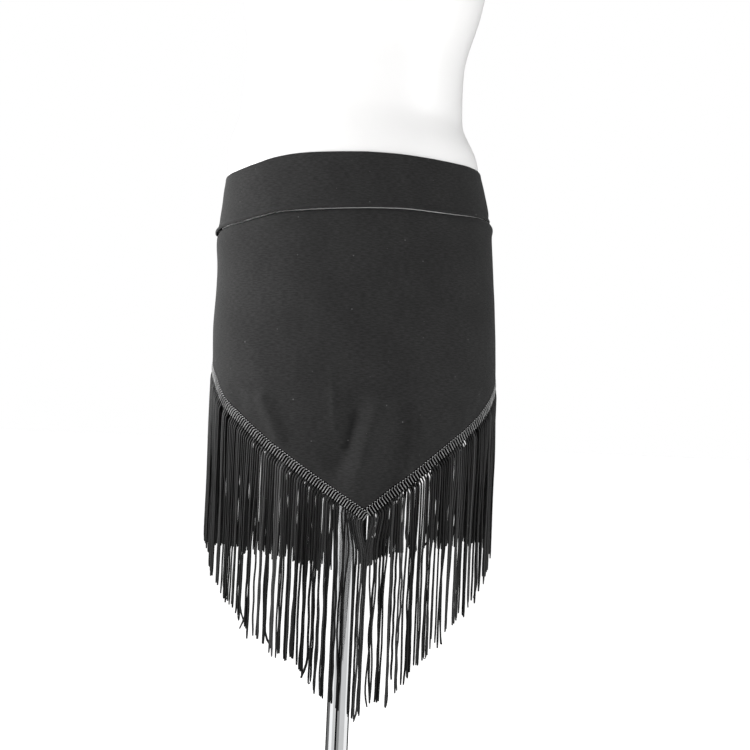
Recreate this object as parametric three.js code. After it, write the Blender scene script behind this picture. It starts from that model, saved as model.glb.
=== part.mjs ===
// A pull-on mini skirt of stretch knit with long fringe on its hem, worn by a limbless dress form on a
// stand. Millimetres, +Z up. The front faces -Y, +X is on the right of a viewer who faces it, and the
// origin is on the floor under the middle of the pole.
import * as THREE from "three";

// Rows of a short table as objects whose keys are the column names.
const table = (columns, rows) =>
  rows.map((row) => Object.fromEntries(columns.map((name, i) => [name, row[i]])));

// ---- Driving dimensions ----

// Level sections through the figure. Above FORM_BOTTOM they are the dress form's surface, and below it
// they are where the inside of the skirt hangs free. half is half the width, front and back are the depths
// from the widest line, and shift is how far the section's middle stands to the side of the pole.
const FIGURE = table(["z", "half", "front", "back", "shift"], [
  [560, 147.7, 98.7, 107.7, 3.0],
  [610, 151.7, 100.7, 109.7, 3.0],
  [752, 157.7, 107.7, 117.7, 2.5], // the edge of the form
  [771, 157.9, 108.7, 118.7, 2.0], // hip line, where the arcs along the hem are measured
  [800, 158, 109.7, 119.7, 0.9],
  [850, 155.5, 107.7, 116.7, -0.3],
  [925, 152, 103.7, 107.7, -2.7],
  [945, 149.2, 101.7, 104, -3.6],
  [985, 143.7, 96.7, 95.7, -7.5],
  [1010, 141, 93.4, 91.8, -9.6],
  [1052, 126.5, 87, 84, -13.5], // waist
  [1110, 124, 90, 85, -12],
  [1190, 137, 104, 94, -6],
  [1245, 142, 115, 97, -3], // bust
  [1300, 148, 104, 98, -1],
  [1345, 153, 82, 88, 0],
  [1375, 132, 66, 76, 0], // shoulders
  [1396, 92, 56, 64, 0],
  [1412, 62, 50, 57, 0],
  [1440, 52, 47, 52, 0], // neck
  [1480, 50, 46, 50, 0],
]);
const ROUNDNESS = 2.25; // a section's exponent: 2 is an ellipse and more is squarer
const FORM_BOTTOM = 752;
const FORM_EDGE = 14; // radius round the form's lower edge
const NECK_EDGE = 6; // radius round the top of the neck

// The cloth: how far each wall lies off the form's surface, inside and outside.
const PANEL = { inner: 0.7, outer: 2.3 };
const WAISTBAND = { inner: 0.9, outer: 3.3 }; // folded double
const SEAM_GAP = 0.3; // between pieces that are sewn edge to edge
const HEADER = { inner: 0.5, outer: 2.5, width: 10, gap: 0.6 }; // the braid that carries the fringe

// Heights of the waistband's top edge, the waist seam and the hem, at arc lengths out from the middle of a
// side, to the left and to the right. The waistband sits lower on the left.
const LINE_COLUMNS = ["out", "left", "right"];
const TOP_EDGE = {
  front: table(LINE_COLUMNS, [
    [0, 992.6, 992.6],
    [45, 989.7, 993.4],
    [80, 987.2, 993.2],
    [110, 983.2, 993.5],
    [140, 977.2, 994.7],
    [170, 973.6, 995.3],
    [219, 972.4, 995.6], // side seam
  ]),
  back: table(LINE_COLUMNS, [
    [0, 988.5, 988.5],
    [113, 981, 993],
    [226, 972.4, 995.6],
  ]),
};
const WAIST_SEAM = {
  front: table(LINE_COLUMNS, [
    [0, 931.8, 931.8],
    [45, 928.2, 934.1],
    [80, 925.2, 934.3],
    [100, 923.4, 935],
    [125, 918.7, 936.8],
    [150, 914.3, 938.6],
    [185, 911.9, 940],
    [219, 910, 941],
  ]),
  back: table(LINE_COLUMNS, [
    [0, 928.5, 928.5],
    [113, 919.5, 936],
    [226, 910, 941],
  ]),
};
const HEM = {
  front: table(LINE_COLUMNS, [
    [0, 619.5, 619.5], // point of the V
    [45, 647.5, 654],
    [95, 680.5, 693],
    [135, 709, 721.5],
    [165, 729.5, 745],
    [190, 753.5, 763],
    [219, 769, 774], // side seam
  ]),
  back: table(LINE_COLUMNS, [
    [0, 725, 725],
    [75, 735, 736.5],
    [150, 751, 754],
    [226, 769, 774],
  ]),
};
const HEADER_POINT = { drop: 4.5, halfWidth: 9 }; // the braid folds over itself at the point of the V

// Soft folds where the cloth hangs below the form, each along a line from a high end to a low end. Arcs
// are from the panel's middle, and height is positive for a ridge and negative for a trough.
const FOLD_COLUMNS = ["side", "arcHigh", "zHigh", "arcLow", "zLow", "width", "height"];
const FOLDS = table(FOLD_COLUMNS, [
  ["front", -112, 727, -93, 686, 10, 3],
  ["front", -40, 744, -28, 684, 6, 1.6],
  ["front", -15, 729, -32, 671, 12, -4],
  ["front", 11, 730, -10, 644, 16, 5],
  ["front", 36, 725, 24, 642, 14, -4.5],
  ["front", 62, 706, 54, 682, 9, 2.2],
  ["front", 111, 731, 106, 708, 8, 2],
  ["front", -150, 742, -140, 722, 10, -2.2],
  ["back", -88, 750, -74, 728, 12, -2.4],
  ["back", -22, 748, -8, 724, 15, 2.8],
  ["back", 30, 748, 22, 727, 12, -2.6],
  ["back", 102, 752, 92, 738, 12, 2.2],
]);
const FOLD_START = FORM_BOTTOM - 2; // folds begin below the form's edge and reach full height over FOLD_FADE
const FOLD_FADE = 22;

// The fringe: three-sided locks, each standing for a few strands. offset is how far a lock's middle hangs
// off the form's surface, kink is the part of its length at which it bends, and the radii are at root,
// kink and tip.
const LOCKS = { front: 136, back: 112 };
const FRINGE = { length: 193, ragged: 6, offset: 1.25, kink: 0.55 };
const LOCK_RADIUS = { root: 1.15, kink: 1.25, tip: 0.75 };
// Locks lean towards the middle one of each clump by parts of their spacing, and swing in and out.
const CLUMP = { locks: 3, leanKink: 0.1, leanTip: 0.18, swingKink: 0.4, swingTip: 0.8 };

// The stand.
const POLE = { radius: 12.7 };
const PLATE = { radius: 170, height: 8, bevel: 2.5 };
const HUB = { radius: 30, height: 26, bevel: 4 };
const SOCKET = { flangeRadius: 36, flangeHeight: 6, neckRadius: 19, neckHeight: 34 };
const FIT = 0.3; // clearance between hard pieces that touch

// How finely each surface is divided.
const GRID = {
  panel: { front: { columns: 60, rows: 12 }, back: { columns: 44, rows: 7 } },
  waistband: { columns: 44, rows: 3 },
  crowding: 1.25, // rows of cloth are closer together towards the lower edge
  form: { columns: 44, edgeSteps: 4, step: 38 },
  round: 36,
};

const MATERIALS = {
  knit: new THREE.MeshStandardMaterial({ color: 0x1d1d1f, roughness: 0.85, metalness: 0 }),
  fringe: new THREE.MeshStandardMaterial({ color: 0x111112, roughness: 0.6, metalness: 0 }),
  form: new THREE.MeshStandardMaterial({ color: 0xe6e6e4, roughness: 0.4, metalness: 0 }),
  chrome: new THREE.MeshStandardMaterial({ color: 0xc8cacc, roughness: 0.12, metalness: 1 }),
};

// ---- Curves ----

// A column's value between the rows, on a smooth curve that does not overshoot them.
function smooth(rows, key, column, at) {
  const last = rows.length - 1;
  if (at <= rows[0][key]) return rows[0][column];
  if (at >= rows[last][key]) return rows[last][column];
  const i = rows.findIndex((row) => row[key] > at) - 1;
  const slope = (j) => (rows[j + 1][column] - rows[j][column]) / (rows[j + 1][key] - rows[j][key]);
  const tangent = (j) => {
    if (j === 0) return slope(0);
    if (j === last) return slope(last - 1);
    const before = slope(j - 1);
    const after = slope(j);
    return before * after <= 0 ? 0 : (2 * before * after) / (before + after);
  };
  const gap = rows[i + 1][key] - rows[i][key];
  const t = (at - rows[i][key]) / gap;
  const blend = t * t * (3 - 2 * t);
  const bulge = t * (1 - t) * (tangent(i) * (1 - t) - tangent(i + 1) * t);
  return rows[i][column] * (1 - blend) + rows[i + 1][column] * blend + gap * bulge;
}

const smoothStep = (t) => THREE.MathUtils.smoothstep(t, 0, 1);

// A repeatable scatter between -1 and 1 for a whole number and a seed.
function scatter(i, seed) {
  const wave = Math.sin(i * 12.9898 + seed * 78.233) * 43758.5453;
  return 2 * (wave - Math.floor(wave)) - 1;
}

// A point of the figure's section at a height, and the way out of it. Angles are from the front towards +X.
function figurePoint(z, angle, out) {
  const half = smooth(FIGURE, "z", "half", z);
  const depth = smooth(FIGURE, "z", Math.cos(angle) >= 0 ? "front" : "back", z);
  const power = (value, exponent) => Math.sign(value) * Math.abs(value) ** exponent;
  const across = power(Math.sin(angle), 2 / ROUNDNESS);
  const along = -power(Math.cos(angle), 2 / ROUNDNESS);
  const normal = new THREE.Vector3(
    power(across, ROUNDNESS - 1) / half,
    power(along, ROUNDNESS - 1) / depth,
    0,
  ).normalize();
  const point = new THREE.Vector3(smooth(FIGURE, "z", "shift", z) + half * across, depth * along, z);
  return { point: point.addScaledVector(normal, out), normal };
}

// Arc lengths along the hip line from the middle of one side, at even angles up to the side seam.
const HIP_LINE = 771;
const HIP_STEPS = 240;
const angleFrom = (side, quarter) => (side === "front" ? quarter : Math.PI - quarter);
function hipArcs(side) {
  const hipPoint = (i) => {
    const quarter = (i / HIP_STEPS) * (Math.PI / 2);
    return figurePoint(HIP_LINE, angleFrom(side, quarter), PANEL.outer).point;
  };
  const arcs = [0];
  for (let i = 1; i <= HIP_STEPS; i++) arcs.push(arcs[i - 1] + hipPoint(i).distanceTo(hipPoint(i - 1)));
  return arcs;
}
const ARCS = { front: hipArcs("front"), back: hipArcs("back") };
const HALF_WIDTH = { front: ARCS.front[HIP_STEPS], back: ARCS.back[HIP_STEPS] };

// The angle round the figure of an arc length from the middle of a side, positive towards +X.
function angleAt(side, arc) {
  const arcs = ARCS[side];
  const want = Math.min(Math.abs(arc), arcs[HIP_STEPS]);
  const i = Math.max(1, arcs.findIndex((length) => length >= want));
  const part = (want - arcs[i - 1]) / (arcs[i] - arcs[i - 1]);
  const quarter = ((i - 1 + part) / HIP_STEPS) * (Math.PI / 2);
  return Math.sign(arc || 1) * angleFrom(side, quarter);
}

// How far the folds lift the cloth at a place on a panel.
function foldHeight(side, arc, z) {
  const free = smoothStep((FOLD_START - z) / FOLD_FADE);
  if (free === 0) return 0;
  let height = 0;
  for (const fold of FOLDS.filter((row) => row.side === side)) {
    const low = new THREE.Vector2(fold.arcLow, fold.zLow);
    const line = new THREE.Vector2(fold.arcHigh, fold.zHigh).sub(low);
    const place = new THREE.Vector2(arc, z).sub(low);
    const along = THREE.MathUtils.clamp(place.dot(line) / line.lengthSq(), 0, 1);
    const away = place.addScaledVector(line, -along).length();
    height += fold.height * Math.exp(-((away / fold.width) ** 2));
  }
  return free * height;
}

// A point on the skirt: an arc length from the middle of the front or back, a height and a distance off
// the form.
function skirtPoint(side, arc, z, out) {
  return figurePoint(z, angleAt(side, arc), out + foldHeight(side, arc, z));
}

// Height of a line round the skirt.
function lineHeight(line, side, arc) {
  return smooth(line[side], "out", arc < 0 ? "left" : "right", Math.abs(arc));
}

const hemLine = (side, arc) => lineHeight(HEM, side, arc);

// The braid's width is square to the hem, so it takes more height where the hem is steep, and most at the
// point.
function headerBottom(side, arc) {
  const step = 2;
  const away = arc < 0 ? arc - step : arc + step;
  const steep = Math.hypot(1, (hemLine(side, away) - hemLine(side, arc)) / step);
  const pointed = Math.max(0, 1 - Math.abs(arc) / HEADER_POINT.halfWidth);
  const drop = side === "front" ? HEADER_POINT.drop * pointed : 0;
  return hemLine(side, arc) - HEADER.width * steep - drop;
}

// ---- Solids ----

function geometryOf(points, triangles) {
  const geometry = new THREE.BufferGeometry().setFromPoints(points);
  geometry.setIndex(triangles);
  geometry.computeVertexNormals();
  return geometry;
}

// A closed wall between an outer and an inner grid of points. Columns run to the right as seen from
// outside, and rows run upwards.
function wall(columns, rows, outerPoint, innerPoint) {
  const points = [];
  for (const pointAt of [outerPoint, innerPoint])
    for (let j = 0; j <= rows; j++)
      for (let i = 0; i <= columns; i++) points.push(pointAt(i / columns, j / rows));
  const outer = (i, j) => j * (columns + 1) + i;
  const inner = (i, j) => outer(i, j) + (columns + 1) * (rows + 1);
  const triangles = [];
  const quad = (a, b, c, d) => triangles.push(a, b, c, a, c, d);
  for (let j = 0; j < rows; j++)
    for (let i = 0; i < columns; i++) {
      quad(outer(i, j), outer(i + 1, j), outer(i + 1, j + 1), outer(i, j + 1));
      quad(inner(i, j), inner(i, j + 1), inner(i + 1, j + 1), inner(i + 1, j));
    }
  for (let i = 0; i < columns; i++) {
    quad(outer(i + 1, 0), outer(i, 0), inner(i, 0), inner(i + 1, 0));
    quad(outer(i, rows), outer(i + 1, rows), inner(i + 1, rows), inner(i, rows));
  }
  for (let j = 0; j < rows; j++) {
    quad(outer(0, j), outer(0, j + 1), inner(0, j + 1), inner(0, j));
    quad(outer(columns, j + 1), outer(columns, j), inner(columns, j), inner(columns, j + 1));
  }
  return geometryOf(points, triangles);
}

// A closed solid through level rings of points, from the lowest to the highest.
function stack(rings) {
  const count = rings[0].length;
  const triangles = [];
  for (let j = 0; j + 1 < rings.length; j++)
    for (let i = 0; i < count; i++) {
      const [here, next] = [j * count + i, j * count + ((i + 1) % count)];
      triangles.push(here, next, next + count, here, next + count, here + count);
    }
  const top = (rings.length - 1) * count;
  for (let i = 1; i + 1 < count; i++) {
    triangles.push(0, i + 1, i);
    triangles.push(top, top + i, top + i + 1);
  }
  return geometryOf(rings.flat(), triangles);
}

// A turned piece from its profile of radius and height pairs.
function turned(profile) {
  const points = profile.map(([radius, height]) => new THREE.Vector2(radius, height));
  return new THREE.LatheGeometry(points, GRID.round).rotateX(Math.PI / 2);
}

// The arc length at a part of the way across one side, rightwards as seen from outside, between its side
// seams.
function arcAcross(side, u) {
  const reach = HALF_WIDTH[side] - SEAM_GAP / 2;
  return (side === "front" ? 1 : -1) * reach * (2 * u - 1);
}

// One strip of the skirt's cloth from one side seam to the other, between two lines round the body.
function clothStrip(side, layer, columns, rows, bottomLine, topLine) {
  const pointAt = (out) => (u, v) => {
    const arc = arcAcross(side, u);
    const z = THREE.MathUtils.lerp(bottomLine(arc), topLine(arc), v ** GRID.crowding);
    return skirtPoint(side, arc, z, out).point;
  };
  return wall(columns, rows, pointAt(layer.outer), pointAt(layer.inner));
}

function waistband(side) {
  const { columns, rows } = GRID.waistband;
  const seam = (arc) => lineHeight(WAIST_SEAM, side, arc);
  const top = (arc) => lineHeight(TOP_EDGE, side, arc);
  return clothStrip(side, WAISTBAND, columns, rows, seam, top);
}

function panel(side) {
  const { columns, rows } = GRID.panel[side];
  const hem = (arc) => hemLine(side, arc);
  const seam = (arc) => lineHeight(WAIST_SEAM, side, arc) - SEAM_GAP;
  return clothStrip(side, PANEL, columns, rows, hem, seam);
}

// Three corners of a lock where it crosses a height: one outwards, then one to the right and one to the
// left.
function lockCorners(middle, normal, sideways, radius) {
  return [0, 1, 2].map((corner) => {
    const turn = (corner * 2 * Math.PI) / 3;
    return middle
      .clone()
      .addScaledVector(normal, radius * Math.cos(turn))
      .addScaledVector(sideways, radius * Math.sin(turn));
  });
}

// The braid under one panel's hem, with a lock hanging plumb from the lower face of each of its columns. A
// lock's root is part of that face, so the braid and its locks are one solid.
function fringe(side) {
  const count = LOCKS[side];
  const points = [];
  const triangles = [];
  const add = (point) => points.push(point) - 1;
  const quad = (a, b, c, d) => triangles.push(a, b, c, a, c, d);

  const edges = Array.from({ length: count + 1 }, (_, i) => {
    const arc = arcAcross(side, i / count);
    const low = headerBottom(side, arc);
    const high = hemLine(side, arc) - HEADER.gap;
    const at = (z, out) => add(skirtPoint(side, arc, z, out).point);
    return {
      outerLow: at(low, HEADER.outer),
      outerHigh: at(high, HEADER.outer),
      innerLow: at(low, HEADER.inner),
      innerHigh: at(high, HEADER.inner),
    };
  });
  const left = edges[0];
  const right = edges[count];
  quad(left.outerLow, left.outerHigh, left.innerHigh, left.innerLow);
  quad(right.outerHigh, right.outerLow, right.innerLow, right.innerHigh);

  for (let i = 0; i < count; i++) {
    const [from, to] = [edges[i], edges[i + 1]];
    quad(from.outerLow, to.outerLow, to.outerHigh, from.outerHigh);
    quad(from.innerLow, from.innerHigh, to.innerHigh, to.innerLow);
    quad(from.outerHigh, to.outerHigh, to.innerHigh, from.innerHigh);

    const arc = arcAcross(side, (i + 0.5) / count);
    const across = points[to.outerLow].clone().sub(points[from.outerLow]);
    const spacing = Math.hypot(across.x, across.y);
    const rise = across.z / spacing;
    const low = (points[from.outerLow].z + points[to.outerLow].z) / 2;
    const { point, normal } = skirtPoint(side, arc, low, FRINGE.offset);
    const sideways = new THREE.Vector3(-normal.y, normal.x, 0);
    const fromClump = (i % CLUMP.locks) - (CLUMP.locks - 1) / 2;
    const cornersAt = (z, radius, lean, swing) => {
      const middle = point.clone().setZ(z);
      middle.addScaledVector(sideways, -fromClump * spacing * lean).addScaledVector(normal, swing);
      return lockCorners(middle, normal, sideways, radius);
    };
    const tip = low - FRINGE.length + FRINGE.ragged * scatter(i, 1);
    const kink = low - FRINGE.length * FRINGE.kink;
    const tipCorners = cornersAt(tip, LOCK_RADIUS.tip, CLUMP.leanTip, CLUMP.swingTip * scatter(i, 2));
    const kinkCorners = cornersAt(kink, LOCK_RADIUS.kink, CLUMP.leanKink, CLUMP.swingKink * scatter(i, 3));
    const rootCorners = lockCorners(point, normal, sideways.clone().setZ(rise), LOCK_RADIUS.root);
    const [tips, kinks, roots] = [tipCorners, kinkCorners, rootCorners].map((corners) => corners.map(add));
    for (const [lower, upper] of [[tips, kinks], [kinks, roots]])
      for (let k = 0; k < 3; k++) {
        const next = (k + 1) % 3;
        quad(lower[k], lower[next], upper[next], upper[k]);
      }
    triangles.push(tips[0], tips[2], tips[1]);

    const [out, toRight, toLeft] = roots;
    triangles.push(from.outerLow, out, to.outerLow);
    triangles.push(to.outerLow, out, toRight);
    triangles.push(to.outerLow, toRight, to.innerLow);
    triangles.push(to.innerLow, toRight, toLeft);
    triangles.push(to.innerLow, toLeft, from.innerLow);
    triangles.push(from.innerLow, toLeft, from.outerLow);
    triangles.push(from.outerLow, toLeft, out);
  }
  return geometryOf(points, triangles);
}

// The form: rings round its lower edge, up the body and round the top of the neck.
function dressForm() {
  const top = FIGURE[FIGURE.length - 1].z;
  const { columns, edgeSteps, step } = GRID.form;
  const levels = [];
  for (let i = 0; i <= edgeSteps; i++) {
    const turn = (i / edgeSteps) * (Math.PI / 2);
    levels.push({ z: FORM_BOTTOM + FORM_EDGE * (1 - Math.cos(turn)), inset: FORM_EDGE * (1 - Math.sin(turn)) });
  }
  const shoulder = 1320;
  const bodyStart = FORM_BOTTOM + FORM_EDGE;
  const bodyRings = Math.round((shoulder - bodyStart) / step);
  for (let i = 1; i <= bodyRings; i++) {
    levels.push({ z: bodyStart + ((shoulder - bodyStart) * i) / bodyRings, inset: 0 });
  }
  for (const { z } of FIGURE.filter((row) => row.z > shoulder && row.z < top)) levels.push({ z, inset: 0 });
  levels.push({ z: top - NECK_EDGE, inset: 0 });
  levels.push({ z: top - NECK_EDGE * 0.3, inset: NECK_EDGE * 0.3 });
  levels.push({ z: top, inset: NECK_EDGE });
  const rings = levels.map(({ z, inset }) =>
    Array.from({ length: columns }, (_, i) => figurePoint(z, (i / columns) * 2 * Math.PI, -inset).point),
  );
  return stack(rings);
}

function basePlate() {
  const { radius, height, bevel } = PLATE;
  return turned([[0, 0], [radius, 0], [radius, height - bevel], [radius - bevel, height], [0, height]]);
}

// A ring on the plate that holds the foot of the pole.
function baseHub() {
  const { radius, height, bevel } = HUB;
  const bore = POLE.radius + FIT;
  const bottom = PLATE.height + FIT;
  const top = bottom + height;
  return turned([
    [bore, bottom], [radius, bottom], [radius, top - bevel], [radius - bevel, top], [bore, top], [bore, bottom],
  ]);
}

function pole() {
  const bottom = PLATE.height + FIT;
  const top = FORM_BOTTOM - FIT;
  return turned([[0, bottom], [POLE.radius, bottom], [POLE.radius, top], [0, top]]);
}

// A flanged collar under the form, round the head of the pole.
function socket() {
  const bore = POLE.radius + FIT;
  const top = FORM_BOTTOM - FIT;
  const step = top - SOCKET.flangeHeight;
  const bottom = top - SOCKET.neckHeight;
  return turned([
    [bore, bottom], [SOCKET.neckRadius, bottom], [SOCKET.neckRadius, step], [SOCKET.flangeRadius, step],
    [SOCKET.flangeRadius, top], [bore, top], [bore, bottom],
  ]);
}

// ---- The part ----

function named(name, geometry, material) {
  const mesh = new THREE.Mesh(geometry, material);
  mesh.name = name;
  return mesh;
}

const skirt = new THREE.Group();
for (const side of ["front", "back"]) {
  skirt.add(named("waistband_" + side, waistband(side), MATERIALS.knit));
  skirt.add(named("panel_" + side, panel(side), MATERIALS.knit));
  skirt.add(named("fringe_" + side, fringe(side), MATERIALS.fringe));
}

const stand = new THREE.Group();
stand.add(named("dress_form", dressForm(), MATERIALS.form));
stand.add(named("socket", socket(), MATERIALS.chrome));
stand.add(named("pole", pole(), MATERIALS.chrome));
stand.add(named("base_hub", baseHub(), MATERIALS.chrome));
stand.add(named("base_plate", basePlate(), MATERIALS.chrome));

const part = new THREE.Group();
part.add(skirt, stand);

export default part;
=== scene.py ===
# %% [markdown]
# # A fringed mini skirt on a dress form
# The skirt is a pull-on tube of black stretch knit with a wide waistband. Its hem dips to a V in front, and
# a corded braid with long rayon fringe is sewn round it. A smooth white form on a chrome pole wears it. The
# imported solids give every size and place, so this script loads them first and dresses each one.

# %% Load the frame
import math

import bpy
import numpy as np
from mathutils import Matrix, Vector


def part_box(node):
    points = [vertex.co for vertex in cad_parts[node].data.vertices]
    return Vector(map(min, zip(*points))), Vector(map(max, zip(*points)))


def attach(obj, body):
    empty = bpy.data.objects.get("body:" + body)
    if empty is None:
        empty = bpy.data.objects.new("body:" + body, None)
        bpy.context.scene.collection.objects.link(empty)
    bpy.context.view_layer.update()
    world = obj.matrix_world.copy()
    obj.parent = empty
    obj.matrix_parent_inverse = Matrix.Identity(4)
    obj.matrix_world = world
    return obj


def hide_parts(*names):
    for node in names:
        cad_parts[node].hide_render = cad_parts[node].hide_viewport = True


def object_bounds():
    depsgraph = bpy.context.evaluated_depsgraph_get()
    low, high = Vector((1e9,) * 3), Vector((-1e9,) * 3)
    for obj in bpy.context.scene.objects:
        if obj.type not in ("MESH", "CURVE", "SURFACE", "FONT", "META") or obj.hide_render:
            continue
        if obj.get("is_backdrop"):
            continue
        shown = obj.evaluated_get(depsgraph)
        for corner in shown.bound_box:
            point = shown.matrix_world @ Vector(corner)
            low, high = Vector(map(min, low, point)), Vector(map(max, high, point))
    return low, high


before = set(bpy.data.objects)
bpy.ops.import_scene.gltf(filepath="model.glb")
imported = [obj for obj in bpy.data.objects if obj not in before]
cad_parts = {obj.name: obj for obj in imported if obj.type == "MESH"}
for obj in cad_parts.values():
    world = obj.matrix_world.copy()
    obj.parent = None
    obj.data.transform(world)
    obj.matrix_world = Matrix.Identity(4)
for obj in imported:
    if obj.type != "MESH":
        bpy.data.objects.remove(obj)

MM = 0.001
CAD_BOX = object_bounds()
print("solids:", sorted(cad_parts))

# %% [markdown]
# ## Camera, floor and light
# The camera stands a little over a metre away at hip height, slightly to the left, and leans a little. It
# could be aimed with a constraint, but its heading, tilt and lean are known, so a matrix built from them is
# exact.

# %% Camera
CAMERA_DISTANCE = 1.15
CAMERA_HEIGHT = 0.709
CAMERA_SIDE = math.radians(8)        # how far it stands to the left of the front
HEADING = math.radians(9.2411)
TILT_UP = math.radians(2.6566)
LEAN = math.radians(2.5)
SENSOR = 36
FOCAL_LENGTH = 48.624

forward = Vector((
    math.sin(HEADING) * math.cos(TILT_UP), math.cos(HEADING) * math.cos(TILT_UP), math.sin(TILT_UP)))
level = Vector((math.cos(HEADING), -math.sin(HEADING), 0))
upright = level.cross(forward)
rightward = math.cos(LEAN) * level + math.sin(LEAN) * upright
upward = math.cos(LEAN) * upright - math.sin(LEAN) * level
place = Vector((
    -CAMERA_DISTANCE * math.sin(CAMERA_SIDE), -CAMERA_DISTANCE * math.cos(CAMERA_SIDE), CAMERA_HEIGHT))


def placed(name, data):
    """A new object in the scene."""
    thing = bpy.data.objects.new(name, data)
    bpy.context.scene.collection.objects.link(thing)
    return thing


camera_data = bpy.data.cameras.new("camera")
camera_data.sensor_width = SENSOR
camera_data.lens = FOCAL_LENGTH
camera = placed("camera", camera_data)
turned = Matrix((rightward, upward, -forward)).transposed().to_4x4()
camera.matrix_world = Matrix.Translation(place) @ turned
bpy.context.scene.camera = camera
bpy.context.scene.view_settings.view_transform = "Standard"
print("camera at", [round(c, 3) for c in place])

# %% [markdown]
# ## Node trees written as arithmetic
# A material's maths is easier to read as an expression than as a drawing of nodes. A Link wraps one output
# socket, and the operators on it add Math nodes. A Tree adds every other kind of node with one method.

# %% Links and trees
class Link:
    """One output socket. Arithmetic on it adds Math nodes to its tree."""

    def __init__(self, tree, socket):
        self.tree = tree
        self.socket = socket

    def maths(self, operation, *values):
        return self.tree.add("Math", {"operation": operation}, dict(enumerate(values)))

    def output(self, name):
        """Another output of the same node."""
        return Link(self.tree, self.socket.node.outputs[name])

    def __add__(self, other):
        return self.maths("ADD", self, other)

    def __sub__(self, other):
        return self.maths("SUBTRACT", self, other)

    def __rsub__(self, other):
        return self.maths("SUBTRACT", other, self)

    def __mul__(self, other):
        return self.maths("MULTIPLY", self, other)

    def __truediv__(self, other):
        return self.maths("DIVIDE", self, other)

    def __pow__(self, other):
        return self.maths("POWER", self, other)

    def __gt__(self, other):
        return self.maths("GREATER_THAN", self, other)

    def __abs__(self):
        return self.maths("ABSOLUTE", self)

    __radd__ = __add__
    __rmul__ = __mul__


class Tree:
    """The node tree of a material or a world, which starts empty."""

    def __init__(self, owner):
        self.owner = owner
        owner.use_nodes = True
        self.nodes = owner.node_tree.nodes
        self.links = owner.node_tree.links
        self.nodes.clear()

    def add(self, kind, settings=(), sockets=(), output=0):
        """Adds a node, sets it up, fills or links its sockets, and returns one of its outputs."""
        node = self.nodes.new("ShaderNode" + kind)
        for name, value in dict(settings).items():
            setattr(node, name, value)
        for name, value in dict(sockets).items():
            if isinstance(value, Link):
                self.links.new(value.socket, node.inputs[name])
            else:
                node.inputs[name].default_value = value
        return Link(self, node.outputs[output]) if node.outputs else None

    def mix(self, factor, first, second):
        """A colour between two others."""
        return self.add("Mix", {"data_type": "RGBA"}, {0: factor, 6: first, 7: second}, 2)

    def ramp(self, value, low, high, to_low=0.0, to_high=1.0):
        """A value eased from one range to another."""
        return self.add(
            "MapRange", {"interpolation_type": "SMOOTHSTEP"},
            {"Value": value, "From Min": low, "From Max": high, "To Min": to_low, "To Max": to_high})

    def finish(self, surface):
        """Links a shader to the output, and returns the material."""
        self.add("OutputMaterial", {}, {"Surface": surface})
        return self.owner


def grey(level, warm=0.0):
    """A neutral colour, a touch warmer or cooler."""
    return (level * (1 + warm), level, level * (1 - warm), 1)


# %% [markdown]
# The studio is a white sweep. Black cloth shows mostly what is round it, so the studio is described by
# direction: an even white, dimmer from the front and from the right. The camera itself sees plain white.

# %% Studio
STUDIO_WHITE = 0.86
FRONT_GREY = 0.22
RIGHT_GREY = 0.06

world = bpy.data.worlds.new("studio")
bpy.context.scene.world = world
studio = Tree(world)
direction = studio.add("TexCoord", output="Generated")
axes = studio.add("SeparateXYZ", {}, {0: direction})
round_from_front = axes.maths("ARCTAN2", axes.output("X"), axes.output("Y") * -1) * math.degrees(1)


def band(low, high, edge):
    """1 between two directions round the floor, with soft edges."""
    rising = studio.ramp(round_from_front, low - edge, low + edge)
    falling = studio.ramp(round_from_front, high - edge, high + edge, 1.0, 0.0)
    return rising * falling


from_front = band(-34, 42, 12)
from_right = band(66, 174, 5)
brightness = (
    STUDIO_WHITE - from_front * (STUDIO_WHITE - FRONT_GREY) - from_right * (STUDIO_WHITE - RIGHT_GREY))
lit = studio.add("Background", {}, {"Color": grey(1), "Strength": brightness})
seen = studio.add("Background", {}, {"Color": grey(1), "Strength": 1.0})
looked_at = studio.add("LightPath", output="Is Camera Ray")
sky = studio.add("MixShader", {}, {0: looked_at, 1: lit, 2: seen})
studio.add("OutputWorld", {}, {"Surface": sky})
print("studio light", STUDIO_WHITE, "and from the front", FRONT_GREY)


# %% Lamps and floor
def softbox(name, azimuth, distance, height, size, power, aim=(0, 0, 0.75)):
    """A square lamp that looks at the skirt from a direction round the floor."""
    lamp = bpy.data.lights.new(name, "AREA")
    lamp.shape = "RECTANGLE"
    lamp.size, lamp.size_y = size
    lamp.energy = power
    turn = math.radians(azimuth)
    spot = Vector((distance * math.sin(turn), -distance * math.cos(turn), height))
    gaze = (Vector(aim) - spot).to_track_quat("-Z", "Y")
    placed(name, lamp).matrix_world = Matrix.Translation(spot) @ gaze.to_matrix().to_4x4()


def studio_piece(name, points, faces, paint, hidden_from=()):
    """A surface of the studio. Rays of the kinds in hidden_from pass through it."""
    mesh = bpy.data.meshes.new(name)
    mesh.from_pydata(points, [], faces)
    mesh.materials.append(paint)
    piece = placed(name, mesh)
    for sight in hidden_from:
        setattr(piece, f"visible_{sight}", False)
    return piece


softbox("key", azimuth=-84, distance=1.9, height=1.35, size=(0.9, 1.5), power=68)
softbox("fill", azimuth=50, distance=2.2, height=1.1, size=(1.0, 1.4), power=28)

FLOOR_REACH = 30
FLOOR_GLOW = 0.62                    # keeps the sweep white behind the skirt

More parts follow.
